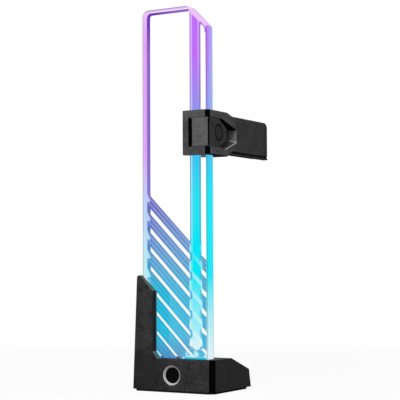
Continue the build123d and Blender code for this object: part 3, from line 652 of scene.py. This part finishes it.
def lit_acrylic():
    """Clear acrylic whose sides, edges and milled groove are dull and glow. The tint follows the height."""
    finish = Finish("lit_acrylic")
    x, y, z = finish.x, finish.y, finish.z
    facing = finish.facing()
    deep = facing["Y"]
    side = below(deep, 0.25)
    bevel = both(above(deep, 0.35), below(deep, 0.95, 0.03))
    front = below(y, panel_low.y + panel_bevel, 0.1)
    behind_front = above(y, panel_low.y + 2 * hair)
    on_back = above(y, panel_high.y - 0.02, 0.03)
    depth_share = times(less(y, panel_low.y), 1 / (panel_high.y - panel_low.y))
    rounded, right, cut = rim_distances(finish)

    # Light and edge lines
    light = ramp(z, tower_light)
    left_glow = ramp(z, left_light)
    striped_zone = step(z, *edges_turn_blue)
    edge_line = mix(0.4, light, edge_shade)
    groove_line = mix(striped_zone, mix(0.45, light, edge_mauve), edge_blue)
    rail_line = mix(striped_zone, edge_line, edge_blue)

    # Sides
    glow = mix(between(depth_share, 0.25, 0.0), left_glow, white)
    right_face = above(x, panel_high.x - 0.4, 0.2)
    right_pale = times(depth_share, between(step(z, *right_turns_pale), 0.1, 0.7))
    back_line = both(above(depth_share, 0.94, 0.1), step(z, *back_line_starts))
    right_glow = mix(back_line, mix(right_pale, light, sky), edge_grey)
    glow = mix(right_face, glow, right_glow)
    cut_back = both(below(cut, 0.05, 0.1), above(depth_share, 0.8, 0.1), above(z, panel_high.z - 6.0, 4.0))
    glow = mix(times(cut_back, 0.7), glow, edge_mauve)

    # Groove: pale walls and floor, bands from the stripes' gaps, and beads along its edges
    in_groove = both(
        inside(x, groove_left - hair, rail_left - 2 * hair),
        behind_front,
        below(y, groove_floor + hair),
        above(cut, 0.8, 0.1),
    )
    on_floor = above(y, groove_floor - 0.1, 0.1)
    on_wall = off(on_floor)
    wall_pale = both(below(y, panel_low.y + 1.2, 2.0), on_wall)
    floor_pale = both(on_floor, above(x, groove_left + 1.8, 0.9), step(z, *floor_turns_pale))
    wall_lean = times(less(y, groove_floor), groove_slope)
    wall_slant = plus(plus(z, groove_left - band_lift), wall_lean)
    floor_slant = plus(x, less(z, band_lift))
    bands = mix(on_floor, stripe_gap(wall_slant), stripe_gap(floor_slant))
    bands = both(bands, step(z, *bands_start))
    beaded = step(z, *beads_start)
    turns = times(less(z, bead_middle_z), 2 * math.pi / stripe_pitch)
    sway = times(maths("COSINE", turns), 0.5)
    bead = both(plus(sway, 0.5), beaded, above(z, groove_bottom_z + 3.0, 2.0))
    wide_bead = above(bead, 0.7, 0.6)
    neck = both(less(0.5, sway), beaded)
    pale = times(either(wall_pale, times(floor_pale, 0.7)), between(beaded, 1.0, 0.4))
    groove_pale = mix(between(step(z, *groove_turns_pale), 0.25, 0.5), light, blush)
    groove_light = mix(times(inside(z, *clear_beads_span, 6.0), 0.3), light, cyan)
    glint = mix(0.4, groove_light, ice)
    groove_glow = mix(pale, groove_light, groove_pale)
    groove_glow = mix(times(bands, 0.85), groove_glow, glint)
    lip_depth = plus(less(y, panel_low.y + lip_width), times(neck, -lip_growth))
    wall_lip = both(below(lip_depth, -0.2, 0.4), on_wall, off(wide_bead), between(striped_zone, 1.0, 0.75))
    groove_glow = mix(wall_lip, groove_glow, groove_line)
    floor_line = both(on_floor, inside(x, groove_left + 2.3, groove_left + 3.2, 0.3), off(wide_bead))
    floor_line = times(floor_line, between(striped_zone, 0.8, 0.5))
    groove_glow = mix(floor_line, groove_glow, rail_line)
    groove_end = both(above(facing["Z"], 0.4, 0.1), above(z, panel_high.z - 25.0, 5.0))
    groove_glow = mix(groove_end, groove_glow, pink)
    groove_foot = both(below(z, groove_bottom_z + 3.2, 0.4), above(x, rail_left - 1.8, 0.4), on_wall)
    groove_glow = mix(groove_foot, groove_glow, lagoon)
    streaks = both(step(finish.noise(1.1, 1.0, (1, 1, 60)), 0.45, 0.7), inside(z, *streaks_span, 15.0))
    groove_glow = mix(times(streaks, 0.3), groove_glow, periwinkle)
    glow = mix(in_groove, glow, groove_glow)

    # Rail's inner wall, with a painted view of the stripes behind it
    rail_wall = both(inside(x, rail_left - hair, rail_left + hair), behind_front)
    rail_slant = plus(plus(z, rail_left - rail_shift), times(less(y, panel_low.y), rail_slope))
    striped = above(less(stripe_start, rail_slant), 0.1, 0.2)
    rail_gap = both(stripe_gap(rail_slant), above(z, groove_bottom_z + 5.0, 2.0))
    glow = mix(rail_wall, glow, mix(rail_gap, ramp(z, rail_tint), white))

    # Edges on the front
    rounded_rim = both(front, below(rounded, rounded_rim_width, rim_edge))
    right_rim = both(front, below(right, straight_rim_width, rim_edge))
    cut_rim = both(front, below(cut, straight_rim_width, rim_edge))
    window = corner_distance(window_corner, less(right, window_side), less(cut, window_top))
    on_rail = both(front, above(x, rail_left, 0.1))
    window_line = both(on_rail, inside(window, 0.0, window_line_width, 0.1), below(cut, 3.0, 1.5))
    above_groove = either(
        both(front, below(cut, pink_width, 0.2), above(x, groove_left - 0.6, 0.2)),
        both(on_rail, below(window, -hair, 2 * hair), below(cut, pink_reach, 1.0)),
    )
    beside_groove = both(front, above(z, groove_bottom_z + 1.0, 1.0), above(cut, pink_width + 0.1, 0.2))
    bead_width = times(bead, bead_reach)
    left_of_groove = less(less(groove_left - groove_rim_width, x), bead_width)
    right_of_groove = less(less(x, rail_left + groove_rim_width), bead_width)
    groove_left_rim = both(beside_groove, below(left_of_groove, -0.1, 0.2), below(x, groove_left + 0.1, 0.1))
    groove_right_rim = both(beside_groove, below(right_of_groove, -0.1, 0.2), above(x, rail_left - 0.1, 0.1))
    left_bead = both(wide_bead, below(left_of_groove, -0.25, 0.25))
    right_bead = both(wide_bead, below(right_of_groove, -0.25, 0.25))
    back_foot = both(on_back, below(z, panel_base_z + 0.5, 0.4), above(x, groove_left - 7.0, 2.0))
    glow = mix(above_groove, glow, pink)
    glow = mix(groove_left_rim, glow, mix(left_bead, groove_line, glint))
    glow = mix(groove_right_rim, glow, mix(right_bead, rail_line, glint))
    glow = mix(rounded_rim, glow, mix(0.6, left_glow, edge_shade))
    glow = mix(right_rim, glow, edge_line)
    glow = mix(cut_rim, glow, pink)
    glow = mix(window_line, glow, edge_line)
    glow = mix(back_foot, glow, lagoon)

    panel_rims = either(rounded_rim, right_rim, cut_rim, window_line)
    groove_rims = either(above_groove, groove_left_rim, groove_right_rim)
    clear_rail = both(rail_wall, off(striped))
    lit = both(either(side, bevel, in_groove, panel_rims, groove_rims, back_foot), off(clear_rail))
    haze = both(
        on_back,
        above(plus(x, z), stripe_start + 0.5, 0.4),
        above(x, border_right + 0.3, 0.2),
        below(z, border_foot - 0.3, 0.2),
    )
    scuffs = finish.noise(1.5, 4.0, (1, 1, 6))
    return finish.shade(
        Base_Color=mix(lit, white, dull_black),
        Roughness=times(lit, between(scuffs, 0.3, 0.5)),
        Specular_IOR_Level=between(lit, 0.5, 0.0),
        Transmission_Weight=off(lit),
        IOR=acrylic_ior,
        Emission_Color=mix(lit, white, glow),
        Emission_Strength=either(lit, times(haze, haze_glow)),
    )


# A stripe between its dark edges and its fine lines, as shares of the pitch
stripe_span = (0.045, 0.66)
dark_line_places = (0.2, 0.36, 0.58)
light_line_places = (0.17, 0.45)
line_reach = 0.015
# Pale teeth where the stripes cross the border: height as a share of the pitch, and reach to the right
tooth_height = 0.51
tooth_reach = 4.9


def stripe_lines(along, places):
    """On along the fine lines of a stripe at the given places."""
    return either(*[inside(along, place - line_reach, place + line_reach, 0.02) for place in places])


def lit_film():
    """Printed film: a border and stripes of fine slanted lines. The tint follows height and width."""
    finish = Finish("lit_film")
    x, z = finish.x, finish.z
    below_start = less(stripe_start, plus(x, z))
    along = wrapped(below_start, stripe_pitch)
    tint = mix(step(x, *stripes_fade), ramp(z, stripe_tint), ramp(z, faded_tint))
    tint = mix(above(x, rail_left, 0.4), tint, ramp(z, rail_tint))
    edges = off(inside(along, *stripe_span, 0.03))
    dark_lines = either(edges, stripe_lines(along, dark_line_places))
    light_lines = stripe_lines(along, light_line_places)
    drift = between(finish.noise(9.0, 2.0), 0.75, 1.2)
    high_up = step(z, *lines_start)
    stripe = mix(both(dark_lines, drift, between(high_up, 0.1, 0.5)), tint, ink)
    stripe = mix(times(light_lines, between(high_up, 0.1, 0.35)), stripe, bleached)

    from_left = less(x, film_low.x)
    tooth_share = wrapped(less(stripe_start_z, z), stripe_pitch)
    tooth = both(
        below(tooth_share, tooth_height - 0.01, 0.04),
        below(less(from_left, times(tooth_share, tooth_reach)), -0.15, 0.3),
        below(z, stripe_start_z - 0.5, 0.5),
        below(from_left, border_width - 0.1, 0.2),
    )
    stripe = mix(tooth, stripe, ramp(z, tooth_tint))
    top_border = both(above(z, border_foot, 0.3), above(x, film_low.x + 20.0, 17.0))
    border = mix(top_border, ramp(z, border_tint), border_violet)
    print_glow = mix(above(below_start, 0.2, 0.4), border, stripe)

    foot = both(below(z, panel_base_z + 2.5, 4.0), above(x, groove_left - 2.0, 10.0))
    glints = step(finish.noise(2.4, 0.0), 0.48, 0.7)
    print_glow = mix(times(foot, 0.8), print_glow, lagoon)
    print_glow = mix(both(foot, glints), print_glow, mint)
    return finish.shade(
        Base_Color=film_black,
        Roughness=0.5,
        Specular_IOR_Level=0.0,
        Emission_Color=print_glow,
        Emission_Strength=1.0,
    )


def white_lamp():
    """Lamp face with a yellowish resin."""
    finish = Finish("white_lamp")
    resin = finish.noise(0.8, 2.0)
    return finish.shade(
        Base_Color=mix(resin, "f4ecc8", "fff6d8"),
        Roughness=0.4,
        Emission_Color="e8f8ff",
        Emission_Strength=1.0,
    )


def laminate():
    """White board laminate with a faint weave."""
    finish = Finish("laminate")
    weave = finish.noise(0.4, 1.0, (4, 1, 1))
    return finish.shade(Base_Color=mix(weave, "d8dcd8", "f0f2ee"), Roughness=between(weave, 0.4, 0.55))


pad_rubber = rubber("pad_rubber", "141414", "2a2a2a")
spring_steel = worked_metal("spring_steel", "84868a", "b0b2b4", (1, 1, 1), 0.2, 0.35)
screw_steel = worked_metal("screw_steel", "6c6e70", "9c9ea0", (1, 1, 1), 0.25, 0.4)
clamp_plastic = clamp_black()
strip_plastic = strip_black()
liner = glide_black()
badge_finish = badge_gloss()
cap_finish = cap_satin()

node_finish = {
    "arm_cover": strip_plastic,
    "arm_cover_screws": screw_steel,
    "arm_pad": pad_rubber,
    "base_magnets": worked_metal("magnet_nickel", "a8a8a4", "c8c8c4", (1, 1, 1), 0.15, 0.3),
    "base_plate": worked_metal("plate_steel", "8c8e90", "b4b6b8", (12, 1, 1), 0.3, 0.45),
    "base_plate_screws": screw_steel,
    "base_shell": shell_black(),
    "brake_shoe": pad_rubber,
    "button_cap": cap_finish,
    "button_spring": spring_steel,
    "cable_grommet": pad_rubber,
    "carriage_frame": clamp_plastic,
    "foot_pad": pad_rubber,
    "front_badge": badge_finish,
    "guide_screw": screw_steel,
    "led_board": laminate(),
    "led_chips": white_lamp(),
    "light_panel": lit_acrylic(),
    "lock_button": button_grey(),
    "lower_glide": liner,
    "panel_screws": screw_steel,
    "pattern_film": lit_film(),
    "upper_glide": liner,
}
for node_name, finish_material in node_finish.items():
    mesh = nodes[node_name].data
    mesh.materials.clear()
    mesh.materials.append(finish_material)


# Along, across and up for a piece turned round each axis
turning_frames = {
    "x": np.array([(1, 0, 0), (0, 1, 0), (0, 0, 1)]),
    "-x": np.array([(-1, 0, 0), (0, -1, 0), (0, 0, 1)]),
    "y": np.array([(0, 1, 0), (0, 0, 1), (1, 0, 0)]),
    "z": np.array([(0, 0, 1), (1, 0, 0), (0, 1, 0)]),
}
weld_reach = 0.0005
crease_angle = math.radians(25)
inlay_columns = 96
screw_columns = 72


def turned(origin, axis, radius, depth):
    """A grid of points round an axis: one row per radius and depth, one column per angle.

    Each point is origin + depth * along + radius * (cos(angle) * across + sin(angle) * up).
    """
    along, across, up = turning_frames[axis]
    angle = np.linspace(0, 2 * np.pi, depth.shape[1], endpoint=False)
    outward = np.cos(angle)[:, None] * across + np.sin(angle)[:, None] * up
    return np.array(origin) + depth[..., None] * along + radius[:, None, None] * outward


def grid_piece(name, grids, node, body, finish_material):
    """One mesh from grids of points whose columns close on themselves.

    It takes the place of a CAD node if one is named.
    """
    points = []
    quads = []
    start = 0
    for grid in grids:
        index = start + np.arange(grid.shape[0] * grid.shape[1]).reshape(grid.shape[:2])
        following = np.roll(index, -1, axis=1)
        corners = [index[:-1], following[:-1], following[1:], index[1:]]
        quads.append(np.stack(corners, axis=-1).reshape(-1, 4))
        points.append(grid.reshape(-1, 3))
        start += index.size
    mesh = bpy.data.meshes.new(name)
    mesh.from_pydata((np.concatenate(points) * MM).tolist(), [], np.concatenate(quads).tolist())
    shape = bmesh.new()
    shape.from_mesh(mesh)
    bmesh.ops.remove_doubles(shape, verts=shape.verts, dist=weld_reach * MM)
    bmesh.ops.recalc_face_normals(shape, faces=shape.faces)
    for face in shape.faces:
        face.smooth = True
    for edge in shape.edges:
        edge.smooth = edge.calc_face_angle(0.0) < crease_angle
    shape.to_mesh(mesh)
    shape.free()
    mesh.materials.append(finish_material)
    piece = bpy.data.objects.new(name, mesh)
    bpy.context.scene.collection.objects.link(piece)
    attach(piece, body)
    if node:
        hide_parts(node)
    return piece


def front_inlay():
    """Round badge in the base's front: a flat disc at the foot of a sloped ring, turned round y.

    The ring's depth goes from the front face to the disc, mostly straight and partly by half a cosine wave.
    """
    radius = (badge_high.x - badge_low.x) / 2
    thickness = badge_high.y - badge_low.y
    disc_radius = 0.8 * radius
    wave_share = 0.2
    disc = np.linspace(0, disc_radius, 6)
    ring = np.linspace(disc_radius, radius, 14)
    ring_share = (radius - ring) / (radius - disc_radius)
    wave = 0.5 * (1 - np.cos(np.pi * ring_share))
    rows = np.concatenate([disc, ring, [radius, 0.0]])
    depths = np.concatenate([
        np.full_like(disc, badge_ring_depth),
        badge_ring_depth * ((1 - wave_share) * ring_share + wave_share * wave),
        [thickness, thickness],
    ])
    centre = (badge_middle.x, badge_low.y, badge_middle.z)
    grid = turned(centre, "y", rows, np.tile(depths[:, None], (1, inlay_columns)))
    grid_piece("front_inlay", [grid], "front_badge", "tower", badge_finish)


def side_inlay():
    """Round cap in the button's side with a ring groove, turned round x.

    The groove's depth is half a cosine wave across its width, and the outer edge is a quarter round.
    """
    radius = (cap_high.y - cap_low.y) / 2
    thickness = cap_high.x - cap_low.x
    ring_radius = 0.84 * radius
    ring_half_width = 0.6
    ring_depth = 0.4
    edge_radius = 0.35
    face = np.linspace(0, radius - edge_radius, 60)
    from_ring = np.clip(np.abs(face - ring_radius) / ring_half_width, 0, 1)
    face_depth = ring_depth * 0.5 * (1 + np.cos(np.pi * from_ring))
    turn = np.linspace(0, np.pi / 2, 6)
    edge = radius - edge_radius * (1 - np.sin(turn))
    edge_depth = edge_radius * (1 - np.cos(turn))
    rows = np.concatenate([face, edge, [radius, 0.0]])
    depths = np.concatenate([face_depth, edge_depth, [thickness, thickness]])
    centre = (cap_high.x, cap_middle.y, cap_middle.z)
    grid = turned(centre, "-x", rows, np.tile(depths[:, None], (1, inlay_columns)))
    grid_piece("side_inlay", [grid], "button_cap", "button", cap_finish)


def cross_recess(radius, span, width, depth):
    """Depth of a cross-shaped recess at each radius and angle of a screw's head.

    It is deepest inside two crossed bars, and rises smoothly to the head over a short slope beside them.
    """
    slope = 0.2 * width
    angle = np.linspace(0, 2 * np.pi, screw_columns, endpoint=False)
    first = np.abs(radius[:, None] * np.cos(angle))
    second = np.abs(radius[:, None] * np.sin(angle))
    bar = np.maximum(first - span / 2, second - width / 2)
    crossed = np.maximum(second - span / 2, first - width / 2)
    outside = np.clip(np.minimum(bar, crossed) / slope + 0.5, 0, 1)
    return depth * (1 - outside ** 2 * (3 - 2 * outside))


def screw_grid(origin, axis, head_radius, head_height, shank_radius, length, cone):
    """A screw from its head's face to its tip, turned round an axis.

    The head is a cone down to the shank where cone is true, and otherwise a cylinder with a bevelled edge.
    """
    edge = 0.1 * head_radius
    tip = 0.4 * shank_radius
    face = np.linspace(0, head_radius - edge, 24)
    recess = cross_recess(face, span=1.3 * head_radius, width=0.36 * head_radius, depth=0.45 * head_height)
    foot_radius = shank_radius if cone else head_radius
    rows = [head_radius, foot_radius, shank_radius, shank_radius, shank_radius - tip, 0.0]
    depths = [edge, head_height, head_height, length - tip, length, length]
    rest = np.tile(np.array(depths)[:, None], (1, screw_columns))
    return turned(origin, axis, np.concatenate([face, rows]), np.concatenate([recess, rest]))


cover_screw_radius = 1.0
guide_radius = 1.1
guide_head_height = 1.4


def arm_screws():
    """Two countersunk screws in the arm's underside."""
    head_radius = (cover_screw_high.x - cover_screw_low.x) / 2
    cone_height = head_radius - cover_screw_radius
    middle_x = (cover_screw_low.x + cover_screw_high.x) / 2
    length = cover_screw_high.z - cover_screw_low.z
    grids = []
    for place_y in (cover_screw_low.y + head_radius, cover_screw_high.y - head_radius):
        origin = (middle_x, place_y, cover_screw_low.z)
        grids.append(screw_grid(origin, "z", head_radius, cone_height, cover_screw_radius, length, True))
    grid_piece("arm_screws", grids, "arm_cover_screws", "carriage", screw_steel)


def button_guide():
    """The button's shoulder screw, its head in the clamp's left side."""
    head_radius = (guide_high.y - guide_low.y) / 2
    origin = (guide_low.x, guide_middle.y, guide_middle.z)
    length = guide_high.x - guide_low.x
    grid = screw_grid(origin, "x", head_radius, guide_head_height, guide_radius, length, False)
    grid_piece("button_guide", [grid], "guide_screw", "button", screw_steel)


# Spring, as the source has it
spring_turns = 3
spring_radius = 2.3
wire_radius = 0.4
stations_per_turn = 32
wire_columns = 10


def coil_spring():
    """The button's spring: a round wire wound round x from its seat under the button.

    The wire's middle goes round the axis at one radius. Its x grows with s - sin(2 pi s) / (2 pi), where
    s is the share of the turns, so that both end coils lie flat. Each section is a circle across the wire.
    """
    share = np.linspace(0, 1, stations_per_turn * spring_turns + 1)
    angle = 2 * np.pi * spring_turns * share
    level = np.zeros_like(share)
    outward = np.stack([level, np.cos(angle), np.sin(angle)], axis=-1)
    length = spring_high.x - spring_low.x
    rise = (length - 2 * wire_radius) * (share - np.sin(2 * np.pi * share) / (2 * np.pi))
    seat = np.array((spring_low.x + wire_radius, guide_middle.y, guide_middle.z))
    middle = seat + np.stack([rise, level, level], axis=-1) + spring_radius * outward
    run = np.gradient(middle, axis=0)
    sideways = np.cross(run / np.linalg.norm(run, axis=1, keepdims=True), outward)
    turn = np.linspace(0, 2 * np.pi, wire_columns, endpoint=False)[:, None]
    section = np.cos(turn) * outward[:, None] + np.sin(turn) * sideways[:, None]
    wire = middle[:, None] + wire_radius * section
    caps = np.broadcast_to(middle[:, None], wire.shape)
    grid = np.concatenate([caps[:1], wire, caps[-1:]])
    spring = grid_piece("coil_spring", [grid], "button_spring", "carriage", spring_steel)
    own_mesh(spring)


# Strip under the arm, as the source has it
strip_height = 1.1
strip_groove = 0.9
strip_inset = 1.2
strip_width = 3.0
# Webs in the strip's groove
web_overlap = 0.05  # into the strip and into the arm
web_set_back = 0.25  # from the strip's right side
web_hollow = 0.3


def strip_ends():
    """Two short webs that close the groove between the arm and its strip, one at each end of the strip.

    The section is a bar with a hollow right side: x goes in by a half wave from its foot to its head.
    """
    foot_z = lip_low.z + strip_height - web_overlap
    height = strip_groove + 2 * web_overlap
    rise = np.linspace(0, 1, 9)
    right_x = lip_high.x - web_set_back - web_hollow * np.sin(np.pi * rise)
    left_x = np.full_like(rise, lip_high.x - strip_width + 0.2)
    ring_x = np.concatenate([right_x, left_x])
    ring_z = foot_z + height * np.concatenate([rise, rise[::-1]])
    near_end = (lip_low.y + 0.2, lip_low.y + 4 * strip_inset)
    far_end = (lip_high.y - strip_inset - 0.1, lip_high.y - 0.15)
    grids = []
    for first_y, last_y in (near_end, far_end):
        stations = np.linspace(first_y, last_y, 6)[:, None]
        bar = np.stack(np.broadcast_arrays(ring_x[None, :], stations, ring_z[None, :]), axis=-1)
        caps = np.broadcast_to(bar.mean(axis=1, keepdims=True), bar.shape)
        grids.append(np.concatenate([caps[:1], bar, caps[-1:]]))
    grid_piece("strip_ends", grids, None, "carriage", strip_plastic)


front_inlay()
side_inlay()
arm_screws()
button_guide()
coil_spring()
strip_ends()

# Studio
world_light = 0.25
behind_object = (-0.6, 0.8, 0.0)
front_dim = 0.08
dim_edge = (-0.15, 0.25)  # cosines to that direction, from dim to white
floor_reach_m = 3.0
floor_seen = "f8f8f8"
floor_unseen = "909090"
floor_white_share = 0.9
shadow_reach = 250.0

# Camera, found from the photograph's vanishing points: degrees, and millimetres for its place
sensor_width = 36.0
focal_length = 113.92
camera_turn = 30.574
camera_pitch = 2.849
camera_roll = -0.221
camera_place = (383.89, -640.01, 73.9)


def light_ray_mask(tree, *rays):
    """1 for the kinds of ray that are named, such as those that come straight from the camera."""
    path = tree.nodes.new("ShaderNodeLightPath")
    return either(*[path.outputs[f"Is {ray} Ray"] for ray in rays])


def studio_world():
    """White to the eye and behind the object, and a plain soft light on it. Reflections see a dim front."""
    world = bpy.data.worlds.new("studio")
    bpy.context.scene.world = world
    world.use_nodes = True
    tree = world.node_tree
    background = tree.nodes["Background"].inputs
    direction = tree.nodes.new("ShaderNodeTexCoord").outputs["Generated"]
    backward = add_node("VectorMath", {0: direction, 1: behind_object}, operation="DOT_PRODUCT")["Value"]
    reflected = between(step(backward, *dim_edge), front_dim, 1.0)
    strength = world_light
    for ray, level in (("Glossy", reflected), ("Transmission", 1.0), ("Camera", 1.0)):
        strength = add_node("Mix", {"Factor": light_ray_mask(tree, ray), 2: strength, 3: level})[0]
    feed(background["Color"], white)
    feed(background["Strength"], strength)


def studio_floor():
    """A level white floor that takes a faint shadow near the object."""
    finish = Finish("floor_white")
    seen = light_ray_mask(finish.tree, "Camera", "Transmission")
    colour = mix(seen, floor_unseen, floor_seen)
    dull = add_node("BsdfPrincipled", {"Base Color": colour, "Roughness": 0.9, "Specular IOR Level": 0.0})[0]
    glow = finish.tree.nodes.new("ShaderNodeEmission").outputs[0]
    distance = add_node("VectorMath", {0: finish.point}, operation="LENGTH")["Value"]
    past_shadow = less(times(distance, 1 / shadow_reach), 1.0)
    share = times(seen, between(past_shadow, floor_white_share, 1.0))
    feed(finish.surface, add_node("MixShader", {"Fac": share, 1: dull, 2: glow})[0])

    mesh = bpy.data.meshes.new("floor")
    corners = [(x * floor_reach_m, y * floor_reach_m, 0) for x, y in ((-1, -1), (1, -1), (1, 1), (-1, 1))]
    mesh.from_pydata(corners, [], [(0, 1, 2, 3)])
    mesh.materials.append(finish.material)
    floor = bpy.data.objects.new("floor", mesh)
    bpy.context.scene.collection.objects.link(floor)


def soft_lamp(name, place_m, target_m, size_m, watts):
    """A square soft lamp at a place, turned towards a target."""
    lamp = bpy.data.lights.new(name, "AREA")
    lamp.shape = "SQUARE"
    lamp.size = size_m
    lamp.energy = watts
    holder = bpy.data.objects.new(name, lamp)
    holder.location = place_m
    holder.rotation_euler = (Vector(target_m) - Vector(place_m)).to_track_quat("-Z", "Y").to_euler()
    bpy.context.scene.collection.objects.link(holder)


def photo_camera():
    """The camera at the photograph's viewing angle: turned, pitched up a little and rolled a hair."""
    camera = bpy.data.cameras.new("photo_camera")
    camera.sensor_width = sensor_width
    camera.lens = focal_length
    holder = bpy.data.objects.new("photo_camera", camera)
    turn = Matrix.Rotation(math.radians(camera_turn), 4, "Z")
    pitch = Matrix.Rotation(math.radians(90 + camera_pitch), 4, "X")
    roll = Matrix.Rotation(math.radians(camera_roll), 4, "Z")
    holder.matrix_world = Matrix.Translation(Vector(camera_place) * MM) @ turn @ pitch @ roll
    bpy.context.scene.collection.objects.link(holder)
    bpy.context.scene.camera = holder


studio_world()
studio_floor()
soft_lamp("key_lamp", place_m=(0.14, -0.97, 0.81), target_m=(0, 0, 0.12), size_m=0.6, watts=10.8)
soft_lamp("top_lamp", place_m=(0, 0, 1.3), target_m=(0, 0, 0.1), size_m=0.8, watts=3.0)
photo_camera()
bpy.context.scene.view_settings.view_transform = "Standard"
